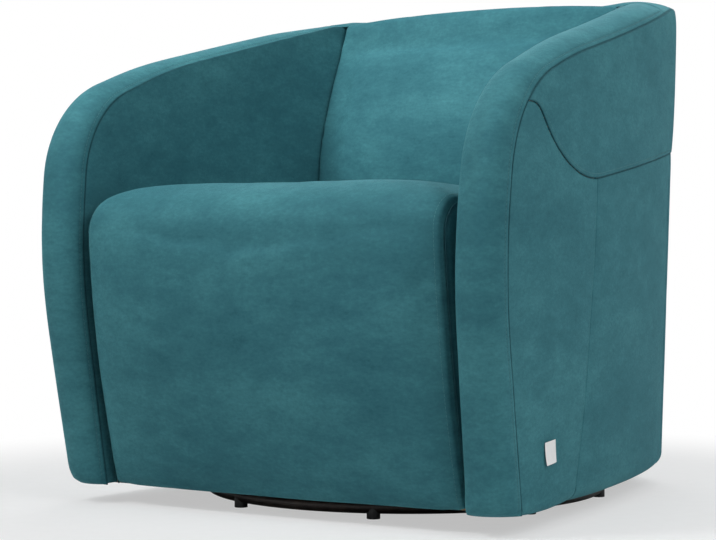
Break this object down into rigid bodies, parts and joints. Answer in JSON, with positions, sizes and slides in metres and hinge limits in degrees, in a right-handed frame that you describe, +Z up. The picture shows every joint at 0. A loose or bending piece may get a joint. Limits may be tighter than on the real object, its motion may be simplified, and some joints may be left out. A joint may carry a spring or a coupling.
{
  "type": "swivel armchair",
  "caption": "Round upholstered tub armchair with rolled arm bands, a curved yoke seam over the back and a low tubular ring base on a ball-race swivel.",
  "frame": {"origin": "on the floor, on the swivel axis, under the middle of the chair", "axes": "+Z up along the swivel axis; the seat opens towards -Y; +X to the right seen from in front of the seat"},
  "size_m": [0.7784, 0.8507, 0.7628],
  "materials": {
    "teal_fabric": "short-pile velvet, mottled, matt",
    "frame_timber": "planed beech, bare",
    "plywood": "bare plywood",
    "dark_steel": "dark brown-black powder coat, satin",
    "black_plastic": "matt",
    "zinc_steel": "zinc plated",
    "spring_steel": "oil-tempered",
    "ball_steel": "polished",
    "deck_felt": "pressed felt",
    "dust_cloth": "non-woven, matt",
    "white_tag": "bare woven tape"
  },
  "bodies": {
    "base": {"base_ring": "dark_steel", "base_spoke_right": "dark_steel", "base_spoke_left": "dark_steel", "base_spoke_front": "dark_steel", "base_spoke_back": "dark_steel", "hub": "dark_steel", "lower_race_plate": "zinc_steel", "glides": "black_plastic", "king_bolt": "zinc_steel", "king_nut": "zinc_steel"},
    "bearing_cage": {"ball_cage": "zinc_steel", "bearing_balls": "ball_steel"},
    "chair": {"yoke_panel": "teal_fabric", "outer_front_panel_right": "teal_fabric", "outer_front_panel_left": "teal_fabric", "outer_rear_panel_right": "teal_fabric", "outer_rear_panel_left": "teal_fabric", "outer_back_panel": "teal_fabric", "arm_band_right": "teal_fabric", "arm_band_left": "teal_fabric", "back_roll": "teal_fabric", "arm_post_right": "frame_timber", "arm_post_left": "frame_timber", "arm_top_rail_right": "frame_timber", "arm_top_rail_left": "frame_timber", "arm_sill_right": "frame_timber", "arm_sill_left": "frame_timber", "rear_post_right": "frame_timber", "rear_post_left": "frame_timber", "back_top_rail": "frame_timber", "back_sill": "frame_timber", "arm_ply_right": "plywood", "arm_ply_left": "plywood", "back_ply": "plywood", "inner_arm_pad_right": "teal_fabric", "inner_arm_pad_left": "teal_fabric", "back_pad": "teal_fabric", "seat_rail_side_right": "frame_timber", "seat_rail_side_left": "frame_timber", "bottom_rail_side_right": "frame_timber", "bottom_rail_side_left": "frame_timber", "seat_rail_front": "frame_timber", "seat_rail_back": "frame_timber", "bottom_rail_front": "frame_timber", "bottom_rail_back": "frame_timber", "corner_blocks": "frame_timber", "seat_springs": "spring_steel", "spring_clips": "zinc_steel", "deck_felt": "deck_felt", "seat_cushion": "teal_fabric", "seat_gusset_right": "teal_fabric", "seat_gusset_left": "teal_fabric", "back_cushion": "teal_fabric", "care_tag": "white_tag", "upper_race_plate": "zinc_steel", "mounting_board": "plywood", "plate_bolts": "zinc_steel", "plate_nuts": "zinc_steel", "dust_cover": "dust_cloth"}
  },
  "joints": [
    {"name": "swivel", "type": "hinge", "parent": "base", "child": "chair", "pos_m": [0, 0, 0.03], "axis": [0, 0, 1], "continuous": true},
    {"name": "cage_spin", "type": "hinge", "parent": "base", "child": "bearing_cage", "pos_m": [0, 0, 0.03], "axis": [0, 0, 1], "continuous": true}
  ],
  "couplings": [
    {"joint": "cage_spin", "follows": "swivel", "ratio": 0.5}
  ]
}
